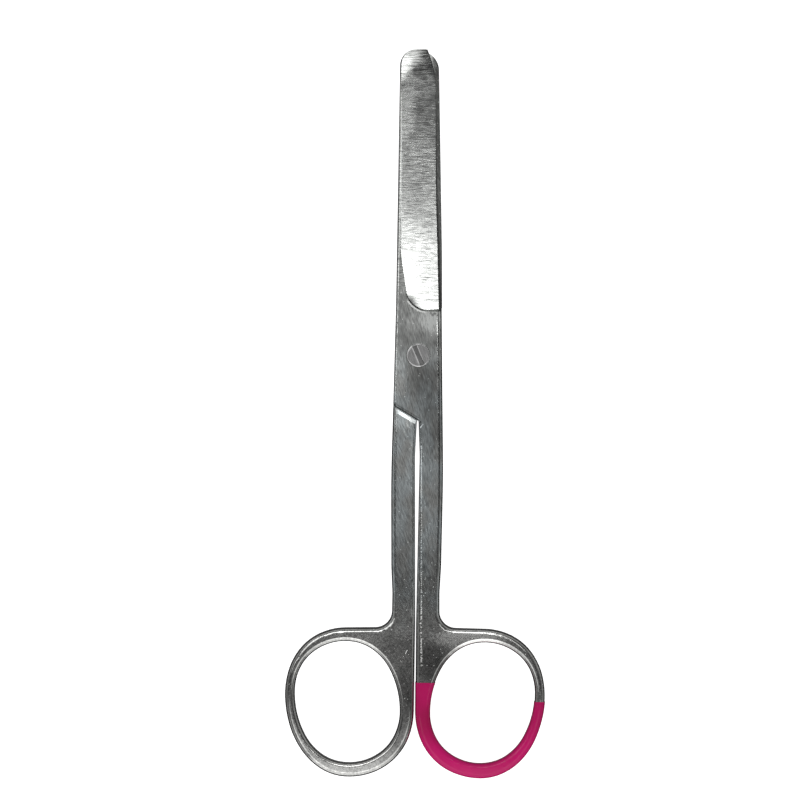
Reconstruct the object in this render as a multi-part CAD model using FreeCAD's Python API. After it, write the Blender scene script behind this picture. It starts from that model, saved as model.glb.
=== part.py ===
"""Straight surgical scissors with two blunt tips, closed and lying flat.

Two crossed steel halves are joined by a slotted screw in a lap joint, and the lower part of the front
half's finger bow is coated. Millimetres, +Z up. The pivot's axis is the Z axis, the halves' underside is
at Z = 0, the blades point along +Y and the finger bows lie at -Y. Both halves share one handle: the rear
half is the front half turned over about the Y axis, with its own spine, tip and bore.
"""
import FreeCAD, Part
import math
import os

Vector = FreeCAD.Vector

# Lengths from the pivot, along the scissors
tip_length = 61.0
rear_bend_length = 20.0
front_bend_length = 10.0
heel_length = 9.0
edge_bend_length = 34.0
edge_belly_length = 56.6
shoulder_length = 10.0
slit_wide_length = 20.0
shank_bulge_length = 24.0
bow_length = 69.14

# Rises along the handle, from the finger hole's centre towards the pivot
shank_end_rise = 27.1
taper_start_rise = 24.7
waist_rise = 22.0
round_change_rise = 20.0
slit_narrow_rise = 15.5
web_rise = 14.94
taper_end_rise = 13.1

# Half widths of the closed scissors, from the middle line to the outside
front_tip_half_width = 4.24
rear_tip_half_width = 3.45
front_bend_half_width = 4.56
rear_bend_half_width = 4.52
edge_tip_half_width = 1.2
edge_belly_half_width = 2.92
edge_bend_half_width = 3.44
heel_half_width = 4.5
shoulder_half_width = 4.92
shank_half_width = 5.2
shank_end_half_width = 4.97
waist_half_width = 4.7
neck_half_width = 4.76

# Radii that join the straight stretches of the outline
edge_belly_radius = 21.0
edge_bend_radius = 300.0
spine_bend_radius = 600.0
heel_side_radius = 80.0
bulge_radius = 300.0
shank_end_radius = 25.0
waist_radius = 12.0
neck_radius = 3.3
taper_radius = 60.0
blade_fall_radius = 700.0

# Thickness, across the flat scissors
joint_thickness = 4.0
blade_tip_thickness = 3.3
bow_thickness = 3.6
ride_gap = 0.04

# Blade: tips, ground facet, cutting edge and hollow inner face
front_tip_radius = 3.35
rear_tip_radius = 4.0
rear_tip_setback = 0.25
edge_height_at_heel = 0.8
edge_height_at_tip = 0.42
facet_fall_at_heel = 0.126
facet_fall_at_tip = 0.165
facet_heel_offset = 1.8
facet_bend_offset = 3.66
facet_tip_offset = 4.1
facet_bend_rise = 11.9
facet_bend_radius = 30.0
heel_corner_radius = 4.4
heel_wall_draft = 0.5
heel_wall_foot = 1.4
heel_edge_rise = 1.5
edge_land = 0.06
edge_bevel_slope = 0.7
edge_bevel_start = 0.2
hollow_depth = 0.08
hollow_radius = 50.0
hollow_offset = -0.3

# Lap shoulder and the slit between the shanks
shoulder_angle = 30.5
shoulder_corner_radius = 0.9
shoulder_gap = 0.24
shoulder_chamfer_width = 0.7
shoulder_chamfer_height = 0.14
slit_end_half_width = 0.18
slit_wide_half_width = 0.48
slit_narrow_half_width = 0.1
slit_end_radius = 0.6
slit_wide_radius = 14.0
slit_narrow_radius = 40.0

# Finger bow: a tilted superellipse hole with a band that varies round it
hole_half_width = 10.265
hole_half_length = 12.19
hole_tilt = 13.5
hole_exponent = 2.17
band_outer = 1.92
band_inner = 2.8
band_top = 2.6
band_bottom = 2.68
bow_slit = 0.34
arc_turn = 50.0

# Rounding of the edges
inner_round = 0.5
outer_round = 0.95
hole_round = 0.8

# Screw
screw_head_diameter = 4.6
screw_head_height = 1.2
screw_shaft_diameter = 3.2
screw_thread_diameter = 2.9
screw_shaft_clearance = 0.04
screw_head_clearance = 0.03
screw_rim_width = 0.22
screw_rim_height = 0.08
screw_slot_chamfer = 0.07
screw_slot_width = 0.75
screw_slot_depth = 0.5
screw_slot_angle = 114.0
screw_sink = 0.02
bore_rim_chamfer = 0.1

# Coating on the front half's bow
coat_thickness = 0.1
coat_inner_length = 65.1
coat_outer_length = 68.7
coat_end_turn = 45.0

# Fineness of the construction: degrees, counts and millimetres
neck_turns = (60.0, 130.0)
slit_turns = (160.0, 215.0)
search_steps = 720
halvings = 60
small_turn = 1e-4
same_place = 1e-3
on_hole_distance = 0.2

# Places that follow from the sizes
taper_start_length = bow_length - taper_start_rise
taper_end_length = bow_length - taper_end_rise
mid_height = joint_thickness / 2
inner_face = mid_height + ride_gap / 2
margin = 3.0
reach = bow_length
split_length = heel_length + 0.5
screw_top = joint_thickness - screw_sink


def point(x, y, z=0.0):
    """A vector."""
    return Vector(x, y, z)


def room_beside(here, beside):
    """How much of the run to a neighbouring corner an arc may take."""
    length = math.hypot(here[0] - beside[0], here[1] - beside[1])
    return 0.98 * length if beside[2] == 0 else 0.5 * length


def corner_arc(first, corner, last):
    """The arc from first to last whose tangents meet in a corner as far from both."""
    half = (first - corner).getAngle(last - corner) / 2
    radius = (first - corner).Length * math.tan(half)
    inward = ((first + last) * 0.5 - corner).normalize()
    middle = corner + inward * (radius / math.sin(half) - radius)
    return Part.Arc(first, middle, last).toShape()


def rounded_path(corners, place=point):
    """Edges through corners (a, b, radius): straight runs joined by tangent arcs."""
    edges = []
    start = place(corners[0][0], corners[0][1])
    for before, corner, after in zip(corners, corners[1:], corners[2:]):
        here = place(corner[0], corner[1])
        if corner[2] > 0:
            back = (place(before[0], before[1]) - here).normalize()
            ahead = (place(after[0], after[1]) - here).normalize()
            room = min(room_beside(corner, before), room_beside(corner, after))
            run = min(corner[2] / math.tan(back.getAngle(ahead) / 2), room)
            edges.append(Part.LineSegment(start, here + back * run).toShape())
            edges.append(corner_arc(here + back * run, here, here + ahead * run))
            start = here + ahead * run
        else:
            edges.append(Part.LineSegment(start, here).toShape())
            start = here
    end = place(corners[-1][0], corners[-1][1])
    edges.append(Part.LineSegment(start, end).toShape())
    return edges


def closed_face(corners, place=point):
    """A face inside a closed loop of rounded corners; the first corner is sharp."""
    return Part.Face(Part.Wire(rounded_path(corners + corners[:1], place)))


def prism(face, bottom, top):
    """The face, drawn at height 0, extruded from bottom to top."""
    return face.translated(point(0, 0, bottom)).extrude(point(0, 0, top - bottom))


def box_between(x0, x1, y0, y1, z0, z1):
    """A box from its lowest to its highest corner."""
    return Part.makeBox(x1 - x0, y1 - y0, z1 - z0, point(x0, y0, z0))


def blend(value, low, high, at_low, at_high):
    """A value that runs from at_low to at_high while value runs from low to high."""
    share = min(max((value - low) / (high - low), 0.0), 1.0)
    return at_low + (at_high - at_low) * share


def signed_power(value, exponent):
    """A power of the size of a number, with the number's sign."""
    return math.copysign(abs(value) ** exponent, value)


def bow_outline_point(turn, band_share, grow):
    """A point round the bow about the hole's centre, from the hole's wall (0) to the outside (1)."""
    tilt = math.radians(-hole_tilt)
    u = signed_power(math.cos(turn), 2 / hole_exponent)
    v = signed_power(math.sin(turn), 2 / hole_exponent)
    normal_u = signed_power(u, hole_exponent - 1) / hole_half_width
    normal_v = signed_power(v, hole_exponent - 1) / hole_half_length
    size = math.hypot(normal_u, normal_v)
    across = (normal_u * math.cos(tilt) - normal_v * math.sin(tilt)) / size
    along = (normal_u * math.sin(tilt) + normal_v * math.cos(tilt)) / size
    band = band_outer * max(across, 0) ** 2 + band_inner * min(across, 0) ** 2
    band += band_top * max(along, 0) ** 2 + band_bottom * min(along, 0) ** 2
    step = band * band_share + grow
    x = u * hole_half_width * math.cos(tilt) - v * hole_half_length * math.sin(tilt) + across * step
    y = u * hole_half_width * math.sin(tilt) + v * hole_half_length * math.cos(tilt) + along * step
    return point(x, y)


def find_bow_center():
    """The hole's centre: the band's inner side lies half the bow slit from the middle line."""
    turns = [2 * math.pi * step / search_steps for step in range(search_steps)]
    innermost = min(bow_outline_point(turn, 1, 0).x for turn in turns)
    return point(bow_slit / 2 - innermost, -bow_length)


bow_center = find_bow_center()


def bow_point(turn, band_share, grow):
    """A point round the bow in the part's frame."""
    return bow_center + bow_outline_point(turn, band_share, grow)


def bow_direction(turn, band_share, grow):
    """The direction in which the bow's outline runs on at a turn."""
    ahead = bow_point(turn + small_turn, band_share, grow)
    return (ahead - bow_point(turn - small_turn, band_share, grow)).normalize()


def bow_arcs(first_turn, last_turn, band_share, grow):
    """Tangent arcs round the bow, two to each stretch, from one turn to another."""
    edges = []
    stretches = math.ceil((last_turn - first_turn) / math.radians(arc_turn))
    for number in range(stretches):
        turn = blend(number, 0, stretches, first_turn, last_turn)
        next_turn = blend(number + 1, 0, stretches, first_turn, last_turn)
        start = bow_point(turn, band_share, grow)
        end = bow_point(next_turn, band_share, grow)
        ahead = bow_direction(turn, band_share, grow)
        behind = bow_direction(next_turn, band_share, grow)
        chord = end - start
        along = chord.dot(ahead + behind)
        bend = 2 * (1 - ahead.dot(behind))
        run = (math.sqrt(along ** 2 + bend * chord.dot(chord)) - along) / bend
        first_corner = start + ahead * run
        last_corner = end - behind * run
        middle = (first_corner + last_corner) * 0.5
        edges.append(corner_arc(start, first_corner, middle))
        edges.append(corner_arc(middle, last_corner, end))
    return edges


def touching_turn(start, turns, grow):
    """The turn, between two in degrees, at which a straight line from start touches the bow's outside."""
    def side(turn):
        return (bow_point(turn, 1, grow) - start).cross(bow_direction(turn, 1, grow)).z

    low = math.radians(turns[0])
    high = math.radians(turns[1])
    low_side = side(low)
    for _ in range(halvings):
        middle = (low + high) / 2
        if side(middle) * low_side > 0:
            low = middle
        else:
            high = middle
    return (low + high) / 2


def hole_face(grow):
    """The finger hole."""
    return Part.Face(Part.Wire(bow_arcs(0, 2 * math.pi, 0, grow)))


def slit_end():
    """The slit's upper corner, where the shoulder's diagonal meets the shank's inner edge."""
    drop = math.tan(math.radians(shoulder_angle)) * (shoulder_half_width + slit_end_half_width)
    return (slit_end_half_width, -shoulder_length - drop, slit_end_radius)


def slit_side():
    """Corners of the shank's inner edge, from the shoulder to the web."""
    return [
        slit_end(),
        (slit_wide_half_width, -slit_wide_length, slit_wide_radius),
        (slit_narrow_half_width, slit_narrow_rise - bow_length, slit_narrow_radius),
    ]


def handle_side():
    """Corners of the shank's outer edge, from the web to the joint."""
    return [
        (neck_half_width, web_rise - bow_length, neck_radius),
        (waist_half_width, waist_rise - bow_length, waist_radius),
        (shank_end_half_width, shank_end_rise - bow_length, shank_end_radius),
        (shank_half_width, -shank_bulge_length, bulge_radius),
        (heel_half_width, heel_length + heel_edge_rise, heel_side_radius),
    ]


def cutting_edge(grow):
    """Corners of the cutting edge, moved outwards by grow."""
    return [
        (edge_bend_half_width + grow, edge_bend_length, edge_bend_radius),
        (edge_belly_half_width + grow, edge_belly_length, edge_belly_radius),
    ]


def front_spine():
    """Corners of the front blade, from the flat end of its tip down its spine."""
    return [
        (edge_tip_half_width, tip_length, 0.0),
        (-front_tip_half_width, tip_length, front_tip_radius),
        (-front_bend_half_width, front_bend_length, spine_bend_radius),
    ]


def rear_spine():
    """Corners of the rear blade, from the flat end of its tip down its spine."""
    top = tip_length - rear_tip_setback
    return [
        (edge_tip_half_width, top, 0.0),
        (-rear_tip_half_width, top, rear_tip_radius),
        (-rear_bend_half_width, rear_bend_length, spine_bend_radius),
    ]


def half_face(spine):
    """One half seen from above, from blade to bow."""
    web = handle_side()[0]
    slit = slit_side()[-1]
    last_turn = 2 * math.pi + touching_turn(point(web[0], web[1]), neck_turns, 0)
    first_turn = touching_turn(point(slit[0], slit[1]), slit_turns, 0)
    outside = bow_point(last_turn, 1, 0)
    inside = bow_point(first_turn, 1, 0)
    corners = [(outside.x, outside.y, 0.0)]
    corners += handle_side() + cutting_edge(0) + spine
    corners += [(-shoulder_half_width, -shoulder_length, shoulder_corner_radius)]
    corners += slit_side()
    corners += [(inside.x, inside.y, 0.0)]
    outline = rounded_path(corners) + bow_arcs(first_turn, last_turn, 1, 0)
    return Part.Face(Part.Wire(outline))


def side_profile():
    """The half seen from the side: full at the joint, thinner at the bow and towards the tip."""
    def place(y, z):
        return point(-reach, y, z)

    low = (joint_thickness - bow_thickness) / 2
    back = -bow_length - 2 * hole_half_length
    front = tip_length + margin
    fall = (joint_thickness - blade_tip_thickness) / (tip_length - heel_length)
    corners = [
        (back, low, 0.0),
        (-taper_end_length, low, taper_radius),
        (-taper_start_length, 0.0, taper_radius),
        (front, 0.0, 0.0),
        (front, joint_thickness - fall * (front - heel_length), 0.0),
        (heel_length, joint_thickness, blade_fall_radius),
        (-taper_start_length, joint_thickness, taper_radius),
        (-taper_end_length, joint_thickness - low, taper_radius),
        (back, joint_thickness - low, 0.0),
    ]
    return closed_face(corners, place).extrude(point(2 * reach, 0, 0))


def rounding_at(place):
    """The rounding of the outline at a place: wider outside and round the bow."""
    if place.x > 2 * slit_wide_half_width:
        return outer_round
    rise = place.y + bow_length
    return blend(rise, slit_narrow_rise, round_change_rise, outer_round, inner_round)


def is_on_hole(place, grow=0.0):
    """Whether a place lies on the finger hole's wall."""
    wall = hole_face(grow).OuterWire
    return wall.distToShape(Part.Vertex(point(place.x, place.y)))[0] < on_hole_distance


def with_rounded_edges(solid, rounding):
    """Rounds each edge for which rounding gives its radii at both ends."""
    document = FreeCAD.newDocument("rounding")
    base = document.addObject("Part::Feature", "Base")
    base.Shape = solid
    feature = document.addObject("Part::Fillet", "Rounding")
    feature.Base = base
    edges = []
    for number, edge in enumerate(solid.Edges, 1):
        radii = rounding(edge)
        if radii:
            edges.append((number, radii[0], radii[1]))
    feature.Edges = edges
    document.recompute()
    rounded = feature.Shape.Solids[0].copy()
    FreeCAD.closeDocument(document.Name)
    return rounded


def edge_middle(edge):
    """The point half way along an edge."""
    return edge.valueAt((edge.FirstParameter + edge.LastParameter) / 2)


def is_outline(edge):
    """Whether an edge follows the outline of the top or the underside."""
    first = edge.Vertexes[0].Point
    last = edge.Vertexes[-1].Point
    level_run = math.hypot(first.x - last.x, first.y - last.y)
    upright = abs(first.z - last.z) > same_place and level_run < same_place
    from_split = max(abs(first.y - split_length), abs(last.y - split_length))
    return not upright and from_split > same_place


def handle_rounding(edge):
    """Radii for the edges of shank, bow and joint."""
    if not is_outline(edge):
        return None
    if is_on_hole(edge_middle(edge)):
        return (hole_round, hole_round)
    return (rounding_at(edge.Vertexes[0].Point), rounding_at(edge.Vertexes[-1].Point))


def blade_rounding(edge):
    """Radii for the top edge along the spine and round the tip."""
    middle = edge_middle(edge)
    if not is_outline(edge) or middle.z < mid_height or middle.x > edge_tip_half_width:
        return None
    return (inner_round, inner_round)


def blank(spine):
    """One half at full thickness with sharp edges."""
    whole = prism(half_face(spine), -margin, joint_thickness + margin)
    return whole.common(side_profile())


def handle_blank():
    """Shank, bow and joint, with rounded edges."""
    below = box_between(-reach, reach, -2 * bow_length, split_length, -margin, joint_thickness + margin)
    handle = blank(front_spine()).common(below)
    handle = handle.cut(prism(hole_face(0), -margin, joint_thickness + margin))
    return with_rounded_edges(handle.Solids[0], handle_rounding)


def blade_blank(spine):
    """The blade beyond the joint, its top edge rounded along the spine and the tip."""
    above = box_between(-reach, reach, split_length, 2 * tip_length, -margin, joint_thickness + margin)
    return with_rounded_edges(blank(spine).common(above).Solids[0], blade_rounding)


def facet_rail(x):
    """A straight line along the ground facet's surface."""
    heel = mid_height + edge_height_at_heel + facet_fall_at_heel * (heel_half_width - x)
    tip = mid_height + edge_height_at_tip + facet_fall_at_tip * (edge_tip_half_width - x)
    climb = (tip - heel) / (tip_length - heel_length)
    back = point(x, heel_length - margin, heel - climb * margin)
    front = point(x, tip_length + margin, tip + climb * margin)
    return Part.LineSegment(back, front).toShape()


def heel_outline(height):
    """The facet's outline with its rounded heel; its wall leans outwards as it rises."""
    grow = heel_wall_draft * (height - mid_height - heel_wall_foot)
    bottom = heel_length - grow
    outside = shoulder_half_width + margin
    corners = [
        (outside, bottom, 0.0),
        (-facet_heel_offset - grow, bottom, heel_corner_radius + grow),
        (-facet_bend_offset - grow, heel_length + facet_bend_rise, facet_bend_radius),
        (-facet_tip_offset - grow, tip_length + margin, 0.0),
        (outside, tip_length + margin, 0.0),
    ]
    return closed_face(corners).OuterWire.translated(point(0, 0, height))


def facet_tool():
    """What the grinding wheel takes off the blade's outer face."""
    outside = shoulder_half_width + margin
    surface = Part.makeRuledSurface(facet_rail(-outside), facet_rail(outside))
    above = surface.extrude(point(0, 0, joint_thickness))
    heel = Part.makeLoft([heel_outline(mid_height), heel_outline(joint_thickness + 0.5)], True, True)
    return heel.common(above)


def bevel_outline(height):
    """The outside of the sharpened edge at a height."""
    grow = -edge_bevel_slope * (height - inner_face - edge_land)
    start = heel_length + edge_bevel_start
    outside = shoulder_half_width + margin
    edge = cutting_edge(grow)
    belly = edge[-1]
    lean = (edge_tip_half_width + grow - belly[0]) / (tip_length - belly[1])
    corners = [(outside, start, 0.0), (heel_half_width + grow, start, 0.0)] + edge
    corners += [
        (edge_tip_half_width + grow + lean * margin, tip_length + margin, 0.0),
        (outside, tip_length + margin, 0.0),
    ]
    return closed_face(corners).OuterWire.translated(point(0, 0, height))


def bevel_tool():
    """What sharpening takes off the cutting edge."""
    return Part.makeLoft([bevel_outline(mid_height - 0.5), bevel_outline(joint_thickness)], True, True)


def hollow_tool():
    """The shallow hollow of the blade's inner face, which fades out at the heel."""
    start = point(hollow_offset, heel_length, inner_face - hollow_radius)
    direction = point(0, tip_length - heel_length, hollow_depth)
    return Part.makeCylinder(hollow_radius, tip_length - heel_length + margin, start, direction)


def shoulder_place(along, across, z):
    """A place by its distance along the shoulder's wall and into the shank."""
    lean = math.radians(shoulder_angle)
    start = point(shoulder_half_width, -shoulder_length - shoulder_gap / math.cos(lean))
    return start + point(
        across * math.sin(lean) - along * math.cos(lean),
        -across * math.cos(lean) - along * math.sin(lean),
        z,
    )


def lap_tool():
    """The recess that the other half's joint and blade lie in, up to the shoulder's wall."""
    right = shoulder_place(-2 * margin, 0, 0)
    left = shoulder_place(reach, 0, 0)
    beyond = tip_length + margin
    corners = [right, point(right.x, beyond), point(left.x, beyond), left]
    return prism(Part.Face(Part.makePolygon(corners + corners[:1])), -margin, inner_face)


def shoulder_chamfer_tool():
    """The slant along the shoulder's outer edge."""
    slope = shoulder_chamfer_height / shoulder_chamfer_width
    near = -2 * margin
    corners = [
        shoulder_place(near, -1.0, shoulder_chamfer_height + slope),
        shoulder_place(near, shoulder_chamfer_width + 1.0 / slope, -1.0),
        shoulder_place(near, -1.0, -1.0),
    ]
    length = shoulder_place(reach, 0, 0) - shoulder_place(near, 0, 0)
    return Part.Face(Part.makePolygon(corners + corners[:1])).extrude(length)


def round_bar(diameter, bottom, top):
    """A round bar on the pivot's axis."""
    return Part.makeCylinder(diameter / 2, top - bottom, point(0, 0, bottom))


def front_bore():
    """The front half's bore for the shaft and its counterbore for the head."""
    head_width = screw_head_diameter + 2 * screw_head_clearance
    floor = screw_top - screw_head_height - screw_head_clearance
    rim = Part.makeCone(
        head_width / 2,
        head_width / 2 + 2 * bore_rim_chamfer,
        2 * bore_rim_chamfer,
        point(0, 0, joint_thickness - bore_rim_chamfer),
    )
    shaft = round_bar(screw_shaft_diameter + 2 * screw_shaft_clearance, 0, joint_thickness)
    return shaft.fuse([round_bar(head_width, floor, joint_thickness + margin), rim])


def forging(handle, spine, bore):
    """One half: handle and blade in one piece, lapped, ground, sharpened and bored."""
    half = handle.fuse(blade_blank(spine)).removeSplitter()
    half = half.cut([lap_tool(), shoulder_chamfer_tool(), facet_tool(), bevel_tool(), hollow_tool(), bore])
    return half.Solids[0]


def turned_over(shape):
    """The shape turned over about the line along the middle of the joint."""
    other = shape.copy()
    other.rotate(point(0, 0, mid_height), point(0, 1, 0), 180)
    return other


def is_slot_rim(edge):
    """Whether an edge is one of the slot's two long upper edges."""
    return edge.Curve.TypeId == "Part::GeomLine" and edge.CenterOfMass.z > screw_top - same_place


def pivot_screw():
    """The slotted screw: head in the front half, shaft through it, thread in the rear half."""
    seat = screw_top - screw_head_height
    rim = screw_top - screw_rim_height
    step = mid_height - ride_gap / 2
    radius = screw_head_diameter / 2
    head = round_bar(screw_head_diameter, seat, rim)
    dome = Part.makeCone(radius, radius - screw_rim_width, screw_rim_height, point(0, 0, rim))
    shaft = round_bar(screw_shaft_diameter, step, seat)
    thread = round_bar(screw_thread_diameter, 0, step)
    half_slot = screw_slot_width / 2
    slot = box_between(
        -screw_head_diameter,
        screw_head_diameter,
        -half_slot,
        half_slot,
        screw_top - screw_slot_depth,
        screw_top + margin,
    )
    slot.rotate(point(0, 0), point(0, 0, 1), screw_slot_angle)
    screw = head.fuse([dome, shaft, thread]).cut(slot).removeSplitter()
    rims = [edge for edge in screw.Edges if is_slot_rim(edge)]
    return screw.makeChamfer(screw_slot_chamfer, rims).Solids[0]


def coat_rounding(edge):
    """Radii for the edges of the coated bow: the steel's, and the coat's thickness more."""
    middle = edge_middle(edge)
    is_closing_line = edge.Curve.TypeId == "Part::GeomLine" and middle.x > 2 * slit_wide_half_width
    if not is_outline(edge) or is_closing_line:
        return None
    steel_round = hole_round if is_on_hole(middle, -coat_thickness) else outer_round
    return (steel_round + coat_thickness, steel_round + coat_thickness)


def coated_bow():
    """The lower bow with its coating on, as one solid that reaches above the coat's ends."""
    grow = coat_thickness
    slit = slit_side()[-1]
    start = point(slit[0] - grow, slit[1])
    first_turn = touching_turn(start, slit_turns, grow)
    bow = bow_arcs(first_turn, math.radians(coat_end_turn) + 2 * math.pi, 1, grow)
    inner = bow_point(first_turn, 1, grow)
    outline = [Part.LineSegment(start, inner).toShape()] + bow
    outline.append(Part.LineSegment(bow[-1].Vertexes[-1].Point, start).toShape())
    low = (joint_thickness - bow_thickness) / 2 - grow
    coated = prism(Part.Face(Part.Wire(outline)), low, joint_thickness - low)
    coated = coated.cut(prism(hole_face(-grow), -margin, joint_thickness + margin))
    return with_rounded_edges(coated.Solids[0], coat_rounding)


def bow_coating(steel):
    """The coating: the coated bow below the coat's two upper ends, less the steel."""
    top = joint_thickness + margin
    inner_side = box_between(-reach, bow_center.x, -2 * bow_length, -coat_inner_length, -margin, top)
    outer_side = box_between(bow_center.x, reach, -2 * bow_length, -coat_outer_length, -margin, top)
    return coated_bow().common(inner_side.fuse(outer_side)).cut(steel)


def build():
    """Builds the four pieces and writes each to its own file."""
    handle = handle_blank()
    front = forging(handle, front_spine(), front_bore())
    rear_bore = round_bar(screw_thread_diameter, 0, joint_thickness + margin)
    rear = turned_over(forging(handle, rear_spine(), rear_bore))
    pieces = {
        "front_half": front,
        "rear_half": rear,
        "pivot_screw": pivot_screw(),
        "bow_coating": bow_coating(front),
    }
    os.makedirs("parts", exist_ok=True)
    for name, shape in pieces.items():
        print(name, shape.isValid(), len(shape.Solids), round(shape.Volume, 2))
        shape.exportStep("parts/" + name + ".step")


build()
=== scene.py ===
"""Looks of the surgical scissors: steel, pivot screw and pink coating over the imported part.

Lengths in the finishes are millimetres of the part's own frame: the pivot is at the origin, the
blades point along +Y and +Z comes out of the upper face. Lengths in the studio are metres.
"""

import logging
import math
from dataclasses import dataclass
from enum import Enum

import bpy
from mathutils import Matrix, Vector

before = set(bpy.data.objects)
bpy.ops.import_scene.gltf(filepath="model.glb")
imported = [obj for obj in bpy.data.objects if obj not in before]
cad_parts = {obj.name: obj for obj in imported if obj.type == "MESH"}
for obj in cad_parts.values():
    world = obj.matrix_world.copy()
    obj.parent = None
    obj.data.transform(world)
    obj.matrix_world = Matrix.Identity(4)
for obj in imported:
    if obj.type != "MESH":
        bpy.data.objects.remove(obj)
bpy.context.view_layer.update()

log = logging.getLogger("scissors")

Pair = tuple[float, float]
Triple = tuple[float, float, float]
Color = tuple[float, float, float, float]

MILLIMETRES_PER_METRE = 1000.0
BLACK: Color = (0.0, 0.0, 0.0, 1.0)
WHITE: Color = (1.0, 1.0, 1.0, 1.0)

# The value that noise lies around
MIDDLE = 0.5

# The overhead panels' height in metres and the width of the camera's sensor in millimetres
PANEL_HEIGHT = 0.6
CAMERA_SENSOR = 36.0

# The photograph: its width in pixels, its scale, the pivot's pixel and the scissors' turn in
# radians
PHOTO_SIZE = 800
PHOTO_MM_PER_PIXEL = 0.19904
PIVOT_PIXEL = (417.9, 354.9)
PHOTO_ROLL = 0.0104


class Number:
    """A number in a shader; operators on it add Math nodes."""

    def __init__(self, shader: "Shader", socket: bpy.types.NodeSocket) -> None:
        """Keeps the shader that owns the socket."""
        self.shader = shader
        self.socket = socket

    def combine(self, operation: str, *values: "Number | float") -> "Number":
        """Adds a Math node on values.

        Args:
            operation: The Math node's operation.
            values: Its inputs in order.

        Returns:
            The node's result.
        """
        inputs = dict(enumerate(values))
        return self.shader.add("ShaderNodeMath", {"operation": operation}, inputs)

    def __add__(self, other: "Number | float") -> "Number":
        """Sum."""
        return self.combine("ADD", self, other)

    def __radd__(self, other: float) -> "Number":
        """Sum with a number on the left."""
        return self.combine("ADD", other, self)

    def __sub__(self, other: "Number | float") -> "Number":
        """Difference."""
        return self.combine("SUBTRACT", self, other)

    def __rsub__(self, other: float) -> "Number":
        """Difference from a number on the left."""
        return self.combine("SUBTRACT", other, self)

    def __mul__(self, other: "Number | float") -> "Number":
        """Product."""
        return self.combine("MULTIPLY", self, other)

    def __rmul__(self, other: float) -> "Number":
        """Product with a number on the left."""
        return self.combine("MULTIPLY", other, self)

    def larger(self, other: "Number | float") -> "Number":
        """The larger of two."""
        return self.combine("MAXIMUM", self, other)

    def smaller(self, other: "Number | float") -> "Number":
        """The smaller of two."""
        return self.combine("MINIMUM", self, other)

    def size(self) -> "Number":
        """The number without its sign."""
        return self.combine("ABSOLUTE", self)

    def root(self) -> "Number":
        """Square root."""
        return self.combine("SQRT", self)

    def rising(self, low: float, high: float) -> "Number":
        """A smooth step from 0 to 1.

        Args:
            low: Where it leaves 0.
            high: Where it reaches 1; below low, the step falls.

        Returns:
            The step.
        """
        settings = {"interpolation_type": "SMOOTHSTEP"}
        if low < high:
            ends = {"Value": self, "From Min": low, "From Max": high, "To Min": 0.0, "To Max": 1.0}
        else:
            ends = {"Value": self, "From Min": high, "From Max": low, "To Min": 1.0, "To Max": 0.0}
        return self.shader.add("ShaderNodeMapRange", settings, ends)

    def within(self, low: float, high: float, soft: float) -> "Number":
        """A smooth band that is 1 between two values.

        Args:
            low: The band's lower side.
            high: The band's upper side.
            soft: Half the width of each side's step.

        Returns:
            The band.
        """
        return self.rising(low - soft, low + soft) * self.rising(high + soft, high - soft)


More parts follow.
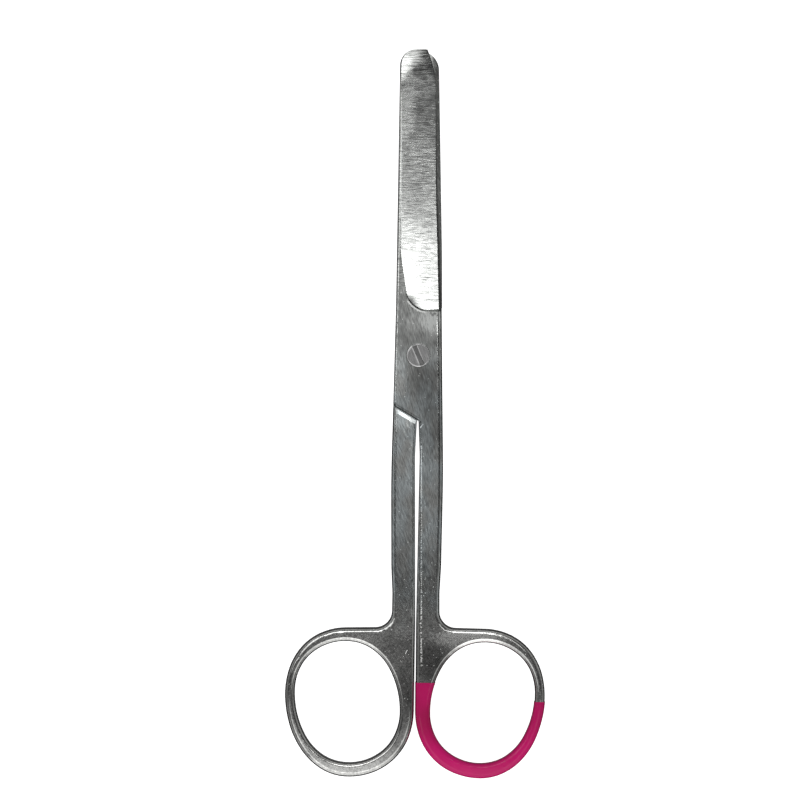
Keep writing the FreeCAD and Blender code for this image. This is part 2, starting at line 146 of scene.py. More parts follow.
class Shader:
    """A material built from nodes, with the place on the part in millimetres."""

    def __init__(self, name: str) -> None:
        """Makes an empty material with this name."""
        self.material = bpy.data.materials.new(name)
        self.material.use_nodes = True
        self.tree = self.material.node_tree
        self.tree.nodes.clear()
        place = self.add("ShaderNodeTexCoord", output="Object")
        settings = {"operation": "SCALE"}
        self.place = self.add(
            "ShaderNodeVectorMath", settings, {0: place, "Scale": MILLIMETRES_PER_METRE}
        )
        self.x, self.y, self.z = (
            self.add("ShaderNodeSeparateXYZ", {}, {0: self.place}, axis) for axis in "XYZ"
        )

    def add(
        self,
        kind: str,
        settings: "dict | None" = None,
        inputs: "dict | None" = None,
        output: "str | int" = 0,
    ) -> Number:
        """Adds a node.

        Args:
            kind: The node's type.
            settings: Its own settings, which are set first.
            inputs: Values or links for its sockets, by name or number.
            output: The socket to return.

        Returns:
            One of its outputs.
        """
        node = self.tree.nodes.new(kind)
        for name, value in (settings or {}).items():
            setattr(node, name, value)
        for name, value in (inputs or {}).items():
            if isinstance(value, Number):
                self.tree.links.new(value.socket, node.inputs[name])
            else:
                node.inputs[name].default_value = value
        return Number(self, node.outputs[output])

    def placed(self, turn: float, stretch: Triple, shift: float) -> Number:
        """The place, turned about Z and then stretched.

        Args:
            turn: Angle in degrees.
            stretch: Cells per millimetre along the turned X, Y and Z.
            shift: How far the pattern is moved, in its own cells.

        Returns:
            The pattern's coordinates.
        """
        turned = self.add(
            "ShaderNodeVectorRotate",
            {"rotation_type": "Z_AXIS"},
            {"Vector": self.place, "Angle": math.radians(turn)},
        )
        return self.add(
            "ShaderNodeVectorMath",
            {"operation": "MULTIPLY_ADD"},
            {0: turned, 1: stretch, 2: (shift, shift, shift)},
        )

    def specks(self, per_mm: float, radius: float, shift: float) -> Number:
        """Round specks at random places.

        Args:
            per_mm: Cells per millimetre.
            radius: The radius in millimetres at which a speck has faded out.
            shift: Moves the pattern.

        Returns:
            A mask of the specks.
        """
        where = self.placed(0.0, (per_mm, per_mm, per_mm), shift)
        far = self.add("ShaderNodeTexVoronoi", {}, {"Vector": where, "Scale": 1.0}, "Distance")
        core = radius / 2
        return far.rising(radius * per_mm, core * per_mm)

    def distance(self, x: float, y: float) -> Number:
        """Distance, seen from above, from a place.

        Args:
            x: The place in millimetres.
            y: Its other coordinate.

        Returns:
            The distance in millimetres.
        """
        across = self.x - x
        along = self.y - y
        return (across * across + along * along).root()

    def scratch(self, start: Pair, end: Pair, width: float) -> Number:
        """A straight line seen from above, for scratch marks, burrs, painted highlights and a
        painted shadow.

        Args:
            start: One end in millimetres.
            end: The other end.
            width: How far from its middle line it has faded out.

        Returns:
            A mask of the line, which fades towards its sides and ends.
        """
        length = math.hypot(end[0] - start[0], end[1] - start[1])
        cosine = (end[0] - start[0]) / length
        sine = (end[1] - start[1]) / length
        east = self.x - start[0]
        north = self.y - start[1]
        along = east * cosine + north * sine
        across = (north * cosine - east * sine).size()
        core = 0.3 * width
        fade = 0.1 * length
        return across.rising(width, core) * along.within(0.0, length, fade)

    def union(self, masks: "list[Number]") -> Number:
        """The largest of several masks.

        Args:
            masks: Numbers of 0 and more.

        Returns:
            The largest, or 0 when there are none.
        """
        total = self.x * 0.0
        for mask in masks:
            total = total.larger(mask)
        return total

    def mix(self, share: Number, first: "Number | Color", second: "Number | Color") -> Number:
        """A mix of two colours.

        Args:
            share: How much of the second.
            first: A colour.
            second: Another colour.

        Returns:
            The mixed colour.
        """
        inputs = {0: share, 6: first, 7: second}
        return self.add("ShaderNodeMix", {"data_type": "RGBA"}, inputs, 2)

    def bump(self, height: Number) -> Number:
        """A normal from a height in millimetres."""
        inputs = {"Height": height, "Strength": 1.0, "Distance": 1.0 / MILLIMETRES_PER_METRE}
        return self.add("ShaderNodeBump", {}, inputs)

    def surface(self, inputs: dict) -> None:
        """Ends the material with the Principled shader.

        Args:
            inputs: Values or links for the shader's sockets.
        """
        shader = self.add("ShaderNodeBsdfPrincipled", {}, inputs)
        end = self.tree.nodes.new("ShaderNodeOutputMaterial")
        self.tree.links.new(shader.socket, end.inputs["Surface"])


class Side(Enum):
    """Which way a half's outer face looks, with the sign of its own axis across."""

    UP = 1.0
    DOWN = -1.0


@dataclass(frozen=True)
class Grain:
    """Stretched noise.

    The stretch is in cells per millimetre along the turned axes, the detail in octaves, the turn in
    degrees and the shift in cells.
    """

    stretch: Triple
    detail: float
    turn: float = 0.0
    shift: float = 0.0

    def value(self, shader: Shader, turn: float = 0.0, shift: float = 0.0) -> Number:
        """The noise in a shader.

        Args:
            shader: The shader to add it to.
            turn: Degrees on top of its own turn.
            shift: Cells on top of its own shift.

        Returns:
            The noise, which lies around the middle of 0 and 1.
        """
        where = shader.placed(turn + self.turn, self.stretch, shift + self.shift)
        inputs = {"Vector": where, "Scale": 1.0, "Detail": self.detail}
        return shader.add("ShaderNodeTexNoise", {}, inputs)


@dataclass(frozen=True)
class StraightMark:
    """A straight line in millimetres, for scratch marks, burrs, painted highlights and a painted
    shadow; its width is where it has faded out.
    """

    start: Pair
    end: Pair
    width: float
    broken: bool = False
    gaps: Grain = Grain((2.0, 2.6, 1.0), 3.0, 0.0, 4.0)
    gap_ends: Pair = (0.44, 0.56)

    def mask(self, shader: Shader) -> Number:
        """Where it lies."""
        whole = shader.scratch(self.start, self.end, self.width)
        return whole * self.gaps.value(shader).rising(*self.gap_ends) if self.broken else whole


@dataclass(frozen=True)
class Scuff:
    """A round patch of fine scratch lines, in millimetres and degrees."""

    center: Pair
    radius: float
    turn: float
    strength: float
    core: float = 0.2
    lines: Grain = Grain((5.0, 0.5, 1.0), 2.0, 0.0, 7.0)
    line_ends: Pair = (0.5, 0.68)

    def mask(self, shader: Shader) -> Number:
        """Where the scratch lines lie.

        Args:
            shader: The shader to add it to.

        Returns:
            The mask, up to the scuff's strength.
        """
        patch = shader.distance(*self.center).rising(self.radius, self.core * self.radius)
        lines = self.lines.value(shader, self.turn).rising(*self.line_ends)
        return patch * lines * self.strength


@dataclass(frozen=True)
class PaintedLightPatch:
    """An oval of painted highlight on the steel, or of painted shade where its gain is below zero,
    in millimetres.

    The size is its half width and half height; it fades between two shares of that size.
    """

    center: Pair
    size: Pair
    gain: float
    fade: Pair = (1.1, 0.2)

    def change(self, shader: Shader) -> Number:
        """What its painted highlight or painted shade adds to the steel's tone.

        Args:
            shader: The shader to add it to.

        Returns:
            The change.
        """
        across = (shader.x - self.center[0]) * (1 / self.size[0])
        along = (shader.y - self.center[1]) * (1 / self.size[1])
        return (across * across + along * along).root().rising(*self.fade) * self.gain


@dataclass(frozen=True)
class BladeShape:
    """What a finish has to know of a half's shape, in millimetres, seen from outside the half.

    Heights are above the face that lies outward on the other half.
    """

    thickness: float = 4.0
    joint: float = 2.0
    soft: float = 0.1
    heel: float = 9.0
    heel_wall: float = 0.3
    heel_center: Pair = (1.965, 13.4)
    heel_radius: float = 4.7
    tip_center: Pair = (0.6, 55.5)
    tip_flat: float = 1.0
    tip_reach: float = 2.0
    tip_bend: float = 0.024


@dataclass(frozen=True)
class GroundSteel:
    """Stainless steel: a cross-ground blade facet, a brushed joint and shanks, satin bows.

    A pair of limits is where a step begins and ends, and three limits are a band's two sides and
    their softness.
    """

    name: str
    side: Side
    shift: float
    scratches_and_highlights: "tuple[StraightMark, ...]" = ()
    scuffs: "tuple[Scuff, ...]" = ()
    pits: "tuple[Pair, ...]" = ()
    shadow_lines: "tuple[StraightMark, ...]" = ()
    light_and_shade_patches: "tuple[PaintedLightPatch, ...]" = ()
    shape: BladeShape = BladeShape()

    # Where the bows begin along Y
    handle: Pair = (-44.0, -58.0)

    # Tone: the steel's brightness, its limits, and the shares that marks, painted highlights, pits
    # and painted shade have in it
    base: float = 0.47
    darkest: float = 0.03
    lightest: float = 0.95
    mark_gain: float = 0.5
    dash_share: float = 0.45
    speck_share: float = 0.8
    pit_share: float = 0.55
    inner_shade_share: float = 0.5
    shadow_share: float = 0.75
    corner_shade_share: float = 0.82
    corner_grain: float = 0.14

    # Clouds in the tone, which are weaker on the facet, and the painted shade that darkens the
    # facet towards its cutting edge
    clouds: Grain = Grain((0.3, 0.16, 0.3), 3.0)
    facet_calm: float = 0.4
    facet_edge_shade: float = 0.02
    facet_edge_shade_start: float = -1.0

    # Tints: the plain steel's, the cool one's with where it shows, and the bows'
    tint: Triple = (0.98, 1.0, 0.975)
    cool_tint: Triple = (0.91, 0.985, 1.0)
    cool_ends: Pair = (0.35, 0.6)
    cool_along: Pair = (12.0, -14.0)
    bow_tint: Triple = (1.0, 1.0, 0.975)

    # How deep the grain is on the shanks, what the facet adds to that and what the bows take off
    depth: float = 3.1
    facet_depth: float = 1.7
    bow_calm: float = 1.9
    grain_height: float = 0.0008

    # The facet's streaks and dashes
    facet_fine: Grain = Grain((0.8, 7.0, 0.5), 3.0, 1.0)
    facet_long: Grain = Grain((0.4, 4.5, 0.5), 3.0, -1.0, 5.0)
    facet_shares: Pair = (0.6, 0.4)
    dashes: Grain = Grain((1.1, 9.0, 0.5), 2.0, 0.0, 2.0)
    dash_ends: Pair = (0.58, 0.72)

    # The joint's and shanks' brushing, turned by degrees, and the bows' satin
    grain_turn: float = -8.0
    brush_fine: Grain = Grain((6.5, 0.8, 1.0), 3.0)
    brush_slanted: Grain = Grain((3.6, 0.4, 1.0), 3.0, -9.0, 9.0)
    brush_shares: Pair = (0.55, 0.45)
    satin: Grain = Grain((2.5, 2.5, 2.5), 4.0, 0.0, 3.0)

    # Light specks, and dark pits with uneven edges
    specks_per_mm: float = 1.1
    speck_radius: float = 0.13
    pit_radius: Pair = (0.36, 0.2)
    pit_edge: Grain = Grain((4.0, 4.0, 4.0), 2.0)
    pit_unevenness: float = 0.5

    # The painted highlight in a line round the heel: beyond the heel's arc, and where it shows
    highlight_ring: Triple = (0.06, 0.36, 0.04)
    highlight_along: Pair = (11.3, 10.5)
    highlight_across: Triple = (-2.6, 1.4, 0.4)
    highlight_height: Pair = (3.7, 3.8)

    # The painted shade in the heel's corner: inside the heel's arc, and where it shows
    corner_ring: Pair = (-2.2, -0.3)
    corner_along: Pair = (13.2, 10.8)
    corner_across: Pair = (1.2, -1.4)

    # The painted shade on the inner face beyond the heel, and on the spine's lower side
    inner_height: Triple = (1.9, 2.11, 0.01)
    inner_start: float = 1.0
    spine_height: Triple = (1.9, 2.5, 0.03)
    spine_across: Pair = (-1.5, -2.5)

    # Roughness: the polish, and what grain and marks add
    roughness: float = 0.15
    grain_roughness: float = 0.08
    mark_roughness: float = 0.15

    def height(self, shader: Shader) -> Number:
        """Height above the face that lies outward on the other half."""
        return shader.z if self.side is Side.UP else self.shape.thickness - shader.z

    def across(self, shader: Shader) -> Number:
        """Distance towards the blade's cutting edge, mirrored in the half that is turned over."""
        return shader.x * self.side.value

    def from_center(self, shader: Shader, center: Pair) -> Number:
        """Distance, seen from outside, from a place on this half."""
        return shader.distance(center[0] * self.side.value, center[1])

    def facet_mask(self, shader: Shader) -> Number:
        """Where the blade's outer face is ground.

        Args:
            shader: The shader to add it to.

        Returns:
            The mask.
        """
        shape = self.shape
        center, radius, soft = shape.heel_center, shape.heel_radius, shape.soft
        inside = self.from_center(shader, center).rising(radius + soft / 2, radius - soft / 2)
        beyond = shader.y.rising(center[1], center[1] + soft)
        right = self.across(shader).rising(center[0], center[0] + soft)
        start = shape.heel - shape.heel_wall
        above_heel = shader.y.rising(start, start + soft)
        outer = self.height(shader).rising(shape.joint, shape.joint + soft)
        return above_heel * inside.larger(beyond).larger(right) * outer

    def streaks(self, shader: Shader) -> Number:
        """The facet's cross grinding, around the middle.

        Args:
            shader: The shader to add it to.

        Returns:
            The streaks.
        """
        fine = self.facet_fine.value(shader, shift=self.shift)
        long = self.facet_long.value(shader, shift=self.shift)
        return fine * self.facet_shares[0] + long * self.facet_shares[1]

    def brushing(self, shader: Shader) -> Number:
        """The joint's and shanks' lengthwise brushing, around the middle.

        Args:
            shader: The shader to add it to.

        Returns:
            The brushing.
        """
        fine = self.brush_fine.value(shader, self.grain_turn, self.shift)
        slanted = self.brush_slanted.value(shader, self.grain_turn, self.shift)
        return fine * self.brush_shares[0] + slanted * self.brush_shares[1]

    def heel_highlight(self, shader: Shader) -> Number:
        """A painted highlight in a line round the heel, on the outer face.

        Args:
            shader: The shader to add it to.

        Returns:
            The mask.
        """
        radius = self.shape.heel_radius
        start, end, soft = self.highlight_ring
        ring = self.from_center(shader, self.shape.heel_center)
        ring = ring.within(radius + start, radius + end, soft)
        across = self.across(shader).within(*self.highlight_across)
        outer = self.height(shader).rising(*self.highlight_height)
        return ring * shader.y.rising(*self.highlight_along) * across * outer

    def marks(self, shader: Shader, facet: Number) -> Number:
        """Bright marks: the painted highlight round the heel, grinding dashes, specks, scratch
        marks with painted edge highlights among them, and scuffs.

        Args:
            shader: The shader to add them to.
            facet: The facet's mask.

        Returns:
            The mask.
        """
        dashes = self.dashes.value(shader, shift=self.shift).rising(*self.dash_ends) * facet
        specks = shader.specks(self.specks_per_mm, self.speck_radius, self.shift) * (1 - facet)
        masks = [self.heel_highlight(shader), dashes * self.dash_share, specks * self.speck_share]
        # Scratch marks, and painted highlights along edges
        masks += [mark.mask(shader) for mark in self.scratches_and_highlights + self.scuffs]
        return shader.union(masks)

    def pit_mask(self, shader: Shader) -> Number:
        """Dark pits with uneven edges.

        Args:
            shader: The shader to add them to.

        Returns:
            The mask.
        """
        edge = self.pit_edge.value(shader, shift=self.shift) - MIDDLE
        uneven = edge * self.pit_unevenness
        places = [shader.distance(*pit) + uneven for pit in self.pits]
        return shader.union([place.rising(*self.pit_radius) for place in places])

    def heel_corner_shade(self, shader: Shader) -> Number:
        """Painted shade in the corner where the grinding runs out at the heel.

        Args:
            shader: The shader to add it to.

        Returns:
            The mask.
        """
        radius = self.shape.heel_radius
        ring = self.from_center(shader, self.shape.heel_center)
        ring = ring.rising(radius + self.corner_ring[0], radius + self.corner_ring[1])
        across = self.across(shader).rising(*self.corner_across)
        return ring * shader.y.rising(*self.corner_along) * across

    def inner_shade_mask(self, shader: Shader) -> Number:
        """Painted shade on the inner face, and on the spine's lower side.

        Args:
            shader: The shader to add it to.

        Returns:
            The mask.
        """
        height = self.height(shader)
        spine = height.within(*self.spine_height) * self.across(shader).rising(*self.spine_across)
        heel = self.shape.heel
        beyond = shader.y.rising(heel, heel + self.inner_start)
        return height.within(*self.inner_height).larger(spine) * beyond

    def pits_and_shade(self, shader: Shader, facet: Number, grain: Number) -> Number:
        """How much darker the pits are, and the painted shade on the inner face, in the shoulder's
        gap and in the heel's corner.

        Args:
            shader: The shader to add it to.
            facet: The facet's mask.
            grain: The grain, which shows faintly in the corner.

        Returns:
            The share of the tone that is taken off.
        """
        # Painted shadow along lines, such as the shoulder's gap
        shadow_lines = shader.union([line.mask(shader) for line in self.shadow_lines])
        corner = self.heel_corner_shade(shader) * facet
        masks = [
            self.pit_mask(shader) * self.pit_share,
            self.inner_shade_mask(shader) * self.inner_shade_share,
            shadow_lines * self.shadow_share,
            corner * (self.corner_shade_share + grain * self.corner_grain),
        ]
        return shader.union(masks)

    def dome(self, shader: Shader) -> Number:
        """The rounding over of the blade's tip, as a height in millimetres.

        Args:
            shader: The shader to add it to.

        Returns:
            The height, which falls with the square of the distance from the flat part.
        """
        shape = self.shape
        far = (self.from_center(shader, shape.tip_center) - shape.tip_flat).larger(0.0)
        tip = shape.tip_center[1]
        beyond = shader.y.rising(tip - shape.tip_reach, tip + shape.tip_reach)
        return far * far * beyond * (-shape.tip_bend / 2)

    def material(self) -> bpy.types.Material:
        """Builds the material.

        Returns:
            The material.
        """
        shader = Shader(self.name)
        facet = self.facet_mask(shader)
        handle = shader.y.rising(*self.handle)
        cloud = self.clouds.value(shader, shift=self.shift)
        satin = self.satin.value(shader, shift=self.shift)
        plain = self.brushing(shader) * (1 - handle) + satin * handle
        grain = plain * (1 - facet) + self.streaks(shader) * facet
        depth = self.depth + facet * self.facet_depth - handle * self.bow_calm

        tone = 1.0 + (cloud - MIDDLE) * (1 - facet * self.facet_calm)
        # Painted shade: the facet darkens towards its cutting edge
        tone = tone - facet * (self.across(shader) - self.facet_edge_shade_start) * self.facet_edge_shade
        # Painted highlights and painted shade, one oval at a time
        for patch in self.light_and_shade_patches:
            tone = tone + patch.change(shader)
        tone = tone * (1 + (grain - MIDDLE) * depth)

        bright = self.marks(shader, facet)
        tone = tone * self.base * (1 - self.pits_and_shade(shader, facet, grain)) + bright * self.mark_gain
        value = tone.larger(self.darkest).smaller(self.lightest)
        cool = cloud.rising(*self.cool_ends) * shader.y.rising(*self.cool_along)
        tint = shader.mix(cool, (*self.tint, 1.0), (*self.cool_tint, 1.0))
        tint = shader.mix(handle, tint, (*self.bow_tint, 1.0))
        rough = (grain - MIDDLE) * self.grain_roughness + bright * self.mark_roughness
        shader.surface(
            {
                "Base Color": shader.mix(value, BLACK, tint),
                "Roughness": rough + self.roughness,
                "Metallic": 1.0,
                "Normal": shader.bump(grain * self.grain_height + self.dome(shader) * facet),
            }
        )
        return shader.material


@dataclass(frozen=True)
class ScrewSteel:
    """The screw: a turned head with a painted highlight and rougher wear at its rim, burrs, and
    painted shade in its slot.

    A pair of limits is where a step begins and ends, and three limits are a band's two sides and
    their softness, all in millimetres.
    """

    name: str = "screw_steel_finish"
    base: float = 0.47
    darkest: float = 0.03
    roughness: float = 0.17
    turning: Grain = Grain((6.0, 0.6, 1.0), 3.0, -24.0, 31.0)
    turning_depth: float = 1.4
    turning_height: float = 0.0008
    turning_roughness: float = 0.1

    # Painted shade in the slot: on its floor and along its rim
    floor_height: Pair = (3.9, 3.8)
    slot_shade_share: float = 0.4
    rim_height: Triple = (3.91, 3.965, 0.01)
    rim_radius: Pair = (2.05, 2.0)
    rim_shade_share: float = 0.8

    # The head's ring: a painted highlight, with rougher wear
    highlight_ring: Triple = (2.1, 2.5, 0.02)
    highlight_tone: float = 0.6
    worn_roughness: float = 0.25

    # Burrs beside the slot
    burrs: "tuple[StraightMark, ...]" = (
        StraightMark((-1.25, 1.6), (0.15, -1.7), 0.2),
        StraightMark((-0.3, 1.9), (0.9, -1.0), 0.14),
    )
    burr_gain: float = 0.5

    def material(self) -> bpy.types.Material:
        """Builds the material.

        Returns:
            The material.
        """
        shader = Shader(self.name)
        grain = self.turning.value(shader)
        floor = shader.z.rising(*self.floor_height)
        from_pivot = shader.distance(0.0, 0.0)
        rim = shader.z.within(*self.rim_height) * from_pivot.rising(*self.rim_radius)
        wear_and_highlight = from_pivot.within(*self.highlight_ring)
        burr = shader.union([line.mask(shader) for line in self.burrs])

        tone = (1 + (grain - MIDDLE) * self.turning_depth) * self.base
        # Painted shade on the slot's floor and along its rim
        tone = tone * (1 - floor * self.slot_shade_share - rim * self.rim_shade_share)
        tone = tone + burr * (1 - floor) * self.burr_gain
        # Painted highlight on the head's ring, which is also rougher with wear
        tone = tone * (1 - wear_and_highlight) + wear_and_highlight * self.highlight_tone
        rough = (grain - MIDDLE) * self.turning_roughness + wear_and_highlight * self.worn_roughness
        shader.surface(
            {
                "Base Color": shader.mix(tone.larger(self.darkest), BLACK, WHITE),
                "Roughness": rough + self.roughness,
                "Metallic": 1.0,
                "Normal": shader.bump(grain * self.turning_height),
            }
        )
        return shader.material


@dataclass(frozen=True)
class PinkCoat:
    """Glossy pink coating, dipped on, deeper in colour at its upper end."""

    name: str = "pink_coat"
    color: Color = (0.76, 0.0055, 0.19, 1.0)
    deep: Color = (0.405, 0.0033, 0.083, 1.0)
    clouds: Grain = Grain((0.12, 0.12, 0.12), 2.0, 0.0, 4.0)
    cloud_ends: Pair = (0.35, 0.65)
    cloud_share: float = 0.35
    deep_along: Pair = (-81.0, -72.0)
    deep_share: float = 0.65
    roughness: float = 0.3
    gloss: float = 0.15
    coat: float = 0.35
    coat_roughness: float = 0.04
    ripple: Grain = Grain((0.8, 0.8, 0.8), 2.0, 0.0, 2.0)
    ripple_height: float = 0.02

    def material(self) -> bpy.types.Material:
        """Builds the material.

        Returns:
            The material.
        """
        shader = Shader(self.name)
        cloud = self.clouds.value(shader).rising(*self.cloud_ends)
        upper = shader.y.rising(*self.deep_along)
        deep = cloud * self.cloud_share + upper * self.deep_share
        shader.surface(
            {
                "Base Color": shader.mix(deep, self.color, self.deep),
                "Roughness": self.roughness,
                "Specular IOR Level": self.gloss,
                "Coat Weight": self.coat,
                "Coat Roughness": self.coat_roughness,
                "Normal": shader.bump(self.ripple.value(shader) * self.ripple_height),
            }
        )
        return shader.material


@dataclass(frozen=True)
class Piece:
    """One piece of the scissors: its CAD node and its finish."""

    node: str
    finish: "GroundSteel | ScrewSteel | PinkCoat"

    def dress(self) -> None:
        """Gives the node its one material."""
        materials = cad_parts[self.node].data.materials
        materials.clear()
        materials.append(self.finish.material())
        log.info("dressed %s", self.node)


@dataclass(frozen=True)
class Panel:
    """A light panel in metres; brightness is the radiance that a mirror would show."""

    name: str
    center: Triple
    size: Pair
    brightness: float
    faces: Triple = (0.0, 0.0, -1.0)

    @classmethod
    def overhead(cls, name: str, across: Pair, along: Pair, brightness: float) -> "Panel":
        """A level panel, placed by the slopes at which it is seen from the scissors.

        Args:
            name: The light's name.
            across: Slopes of its left and right sides.
            along: Slopes of its near and far sides.
            brightness: Its radiance.

        Returns:
            The panel.
        """
        height = PANEL_HEIGHT
        center = (height * sum(across) / 2, height * sum(along) / 2, height)
        size = (height * (across[1] - across[0]), height * (along[1] - along[0]))
        return cls(name, center, size, brightness)

    def build(self) -> None:
        """Adds the light."""
        light = bpy.data.lights.new(self.name, "AREA")
        light.shape = "RECTANGLE"
        light.size, light.size_y = self.size
        light.energy = self.brightness * math.pi * self.size[0] * self.size[1]
        panel = bpy.data.objects.new(self.name, light)
        panel.location = self.center
        panel.rotation_euler = Vector(self.faces).to_track_quat("-Z", "Y").to_euler()
        panel.visible_camera = False
        bpy.context.scene.collection.objects.link(panel)


@dataclass(frozen=True)
class Studio:
    """Floor, lights and camera, in metres."""

    floor_size: float = 8.0
    floor_height: float = -0.0002
    floor_tone: float = 0.8
    floor_roughness: float = 0.9
    world_brightness: float = 0.08
    panels: "tuple[Panel, ...]" = (
        Panel.overhead("overhead", (-0.1, 0.12), (-0.11, 0.15), 0.35),
        Panel.overhead("left", (-0.7, -0.25), (0.0, 0.4), 2.0),
        Panel.overhead("near_overhead", (-0.6, 0.6), (-1.0, -0.24), 1.25),
        Panel.overhead("far_end", (-0.35, 0.15), (0.27, 0.6), 3.5),
        Panel.overhead("far_right", (0.15, 0.3), (0.3, 0.55), 1.6),
        Panel.overhead("far_left", (-0.75, -0.45), (0.4, 0.75), 2.3),
        Panel.overhead("facet_light", (0.17, 0.31), (0.045, 0.118), 4.8),
        Panel.overhead("facet_fill", (0.2, 0.45), (0.12, 0.2), 0.4),
        Panel("near_wall", (0.0, -0.8, 0.4), (1.4, 0.8), 0.6, (0.0, 1.0, 0.0)),
    )

    # Walls on all four sides, in two storeys: each one's name, bottom, top and brightness
    wall_distance: float = 1.2
    wall_sides: "tuple[tuple[int, int], ...]" = ((1, 0), (0, 1), (-1, 0), (0, -1))
    storeys: "tuple[tuple[str, float, float, float], ...]" = (
        ("low", 0.05, 0.6, 0.45),
        ("high", 0.6, 1.4, 0.2),
    )

    # The camera's height above the level at which the picture's scale holds
    camera_height: float = 0.7
    scale_height: float = 0.003
    camera_reach: float = 20.0

    def build_floor(self) -> None:
        """A plain white floor just under the scissors."""
        bpy.ops.object.select_all(action="DESELECT")
        place = (0.0, 0.0, self.floor_height)
        bpy.ops.mesh.primitive_plane_add(size=self.floor_size, location=place)
        floor = bpy.context.active_object
        floor.name = "floor"
        floor.visible_glossy = False
        floor.visible_diffuse = False
        shader = Shader("white_floor")
        shader.surface(
            {
                "Base Color": (self.floor_tone, self.floor_tone, self.floor_tone, 1.0),
                "Roughness": self.floor_roughness,
                "Emission Color": WHITE,
                "Emission Strength": 1.0,
            }
        )
        floor.data.materials.append(shader.material)

    def build_world(self) -> None:
        """A dim even surrounding."""
        world = bpy.data.worlds.new("studio")
        world.use_nodes = True
        background = world.node_tree.nodes["Background"]
        background.inputs["Color"].default_value = WHITE
        background.inputs["Strength"].default_value = self.world_brightness
        bpy.context.scene.world = world

    def walls(self) -> "list[Panel]":
        """The dim panels all round, which the steel's sides reflect.

        Returns:
            The panels.
        """
        panels = []
        for number, (east, north) in enumerate(self.wall_sides):
            for name, bottom, top, brightness in self.storeys:
                middle = (bottom + top) / 2
                center = (east * self.wall_distance, north * self.wall_distance, middle)
                size = (2 * self.wall_distance, top - bottom)
                faces = (-east, -north, 0.0)
                panels.append(Panel(f"{name}_wall_{number}", center, size, brightness, faces))
        return panels

    def build_camera(self) -> None:
        """A long lens straight above, turned and centred as in the photograph."""
        scale = PHOTO_MM_PER_PIXEL / MILLIMETRES_PER_METRE
        middle = (PHOTO_SIZE - 1) / 2
        across = middle - PIVOT_PIXEL[0]
        up = PIVOT_PIXEL[1] - middle
        camera = bpy.data.cameras.new("camera")
        camera.sensor_width = CAMERA_SENSOR
        camera.lens = CAMERA_SENSOR * self.camera_height / (PHOTO_SIZE * scale)
        camera.clip_end = self.camera_reach
        camera_object = bpy.data.objects.new("camera", camera)
        camera_object.location = (
            scale * (across - PHOTO_ROLL * up),
            scale * (up + PHOTO_ROLL * across),
            self.camera_height + self.scale_height,
        )
        camera_object.rotation_euler = (0.0, 0.0, PHOTO_ROLL)
        bpy.context.scene.collection.objects.link(camera_object)
        bpy.context.scene.camera = camera_object

    def build(self) -> None:
        """Builds the studio."""
        self.build_floor()
        self.build_world()
        for panel in [*self.panels, *self.walls()]:
            panel.build()
        self.build_camera()
        bpy.context.scene.view_settings.view_transform = "Standard"
        log.info("built the studio")


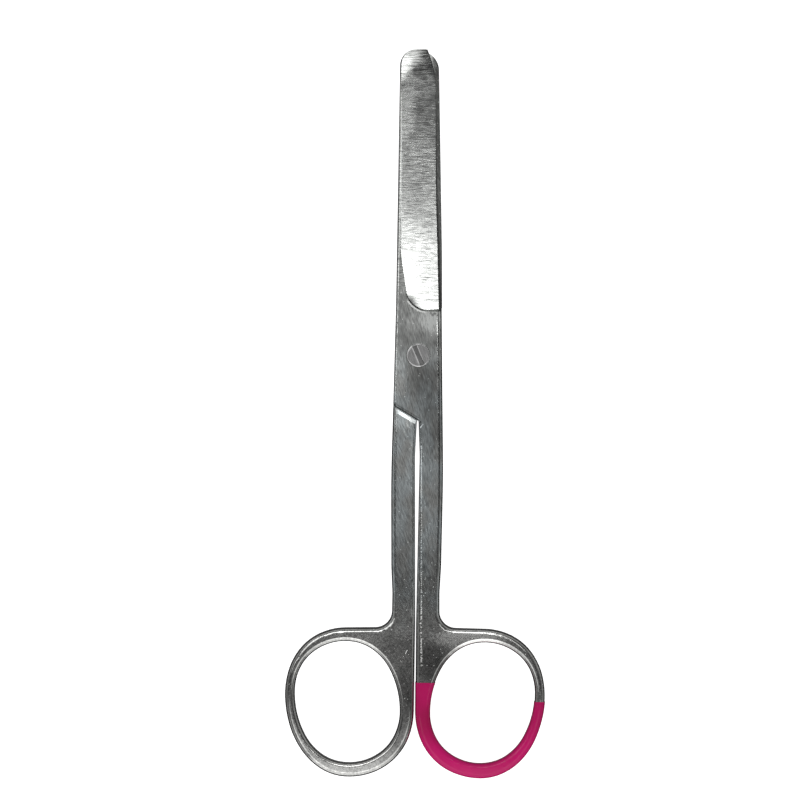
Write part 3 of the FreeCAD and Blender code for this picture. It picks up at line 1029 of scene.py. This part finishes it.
def front_steel() -> GroundSteel:
    """The front half's finish.

    Returns:
        The finish, with marks, painted highlights and painted shade where the photograph shows
        them.
    """
    return GroundSteel(
        name="front_steel_finish",
        side=Side.UP,
        shift=0.0,
        base=0.44,
        scratches_and_highlights=(
            # Nick at the slit's upper end, and a painted highlight along the blade's left edge
            StraightMark((0.45, -14.5), (1.05, -13.65), 0.14),
            StraightMark((-3.7, 21.5), (-3.92, 51.0), 0.22),
            # Painted highlight along the rounded edge beside the slit, from the joint down to the
            # coating
            StraightMark((0.74, -17.5), (0.88, -28.0), 0.22, broken=True),
            StraightMark((0.75, -18.5), (0.89, -28.5), 0.16),
            StraightMark((0.88, -28.0), (1.1, -52.0), 0.16, broken=True),
            StraightMark((1.1, -48.0), (1.15, -60.5), 0.22, broken=True),
            StraightMark((1.15, -58.6), (1.3, -61.8), 0.32, broken=True),
        ),
        scuffs=(Scuff((3.0, 6.0), 2.6, 40.0, 0.4),),
        pits=((2.4, 8.45), (3.15, 8.3), (2.75, 8.0)),
        # Painted shadow in the gap along the slanted shoulder
        shadow_lines=(StraightMark((-5.0, -9.75), (0.2, -12.8), 0.55),),
        # Painted highlights and painted shade, standing in for what the steel reflects
        light_and_shade_patches=(
            # Facet, from its tip down to the heel
            PaintedLightPatch((-2.6, 57.4), (1.2, 2.2), 0.5),
            PaintedLightPatch((0.0, 54.0), (4.5, 3.0), 0.55),
            PaintedLightPatch((-3.0, 50.5), (2.4, 9.5), 1.3),
            PaintedLightPatch((2.2, 39.0), (2.6, 5.0), 0.25),
            PaintedLightPatch((-1.2, 30.5), (4.0, 4.5), -0.27),
            PaintedLightPatch((2.0, 23.0), (3.0, 4.0), 0.15),
            PaintedLightPatch((-1.8, 16.0), (3.0, 7.0), 0.5),
            # Joint and screw
            PaintedLightPatch((2.4, 7.2), (2.8, 4.0), 1.12),
            PaintedLightPatch((-1.2, 6.3), (2.6, 3.6), 0.35),
            PaintedLightPatch((-3.8, -3.5), (1.8, 7.0), 0.45),
            PaintedLightPatch((1.6, -6.0), (4.0, 7.0), -0.42),
            # Shank
            PaintedLightPatch((3.0, -14.5), (3.4, 7.5), -0.32),
            PaintedLightPatch((2.2, -34.0), (3.0, 7.0), 0.15),
            # Bow: its upper band, the web and the right side
            PaintedLightPatch((10.5, -56.3), (9.0, 2.2), 1.7),
            PaintedLightPatch((3.5, -62.0), (5.0, 8.0), -0.58),
            PaintedLightPatch((24.3, -66.0), (2.6, 6.0), -0.28),
        ),
    )


def rear_steel() -> GroundSteel:
    """The rear half's finish, of which the shank and the bow are seen from above.

    Returns:
        The finish, with marks, painted highlights and painted shade where the photograph shows
        them.
    """
    return GroundSteel(
        name="rear_steel_finish",
        side=Side.DOWN,
        shift=17.0,
        grain_turn=-13.0,
        scratches_and_highlights=(StraightMark((-2.0, -59.4), (-1.6, -58.6), 0.12),),
        scuffs=(Scuff((-2.6, -13.4), 3.4, -32.0, 0.6),),
        # Painted highlights and painted shade, standing in for what the steel reflects
        light_and_shade_patches=(
            # Painted shade on the spine's end, which shows beside the front half's tip
            PaintedLightPatch((2.9, 59.4), (1.5, 2.2), -0.8),
            # Shoulder and shank
            PaintedLightPatch((-3.0, -12.6), (2.6, 2.6), 0.6),
            PaintedLightPatch((-2.2, -20.0), (3.0, 10.0), 0.12),
            # Bow: its upper band, the web, the left side and the lower band
            PaintedLightPatch((-13.0, -57.0), (9.0, 2.0), 0.5),
            PaintedLightPatch((-1.8, -69.0), (4.0, 12.0), -0.5),
            PaintedLightPatch((-25.0, -68.0), (2.5, 8.0), -0.32),
            PaintedLightPatch((-13.0, -82.0), (9.0, 3.2), 0.45),
        ),
    )


def main() -> None:
    """Builds every piece's looks and the studio."""
    logging.basicConfig(level=logging.INFO)
    Piece("front_half", front_steel()).dress()
    Piece("rear_half", rear_steel()).dress()
    Piece("pivot_screw", ScrewSteel()).dress()
    Piece("bow_coating", PinkCoat()).dress()
    Studio().build()


if __name__ == "__main__":
    main()
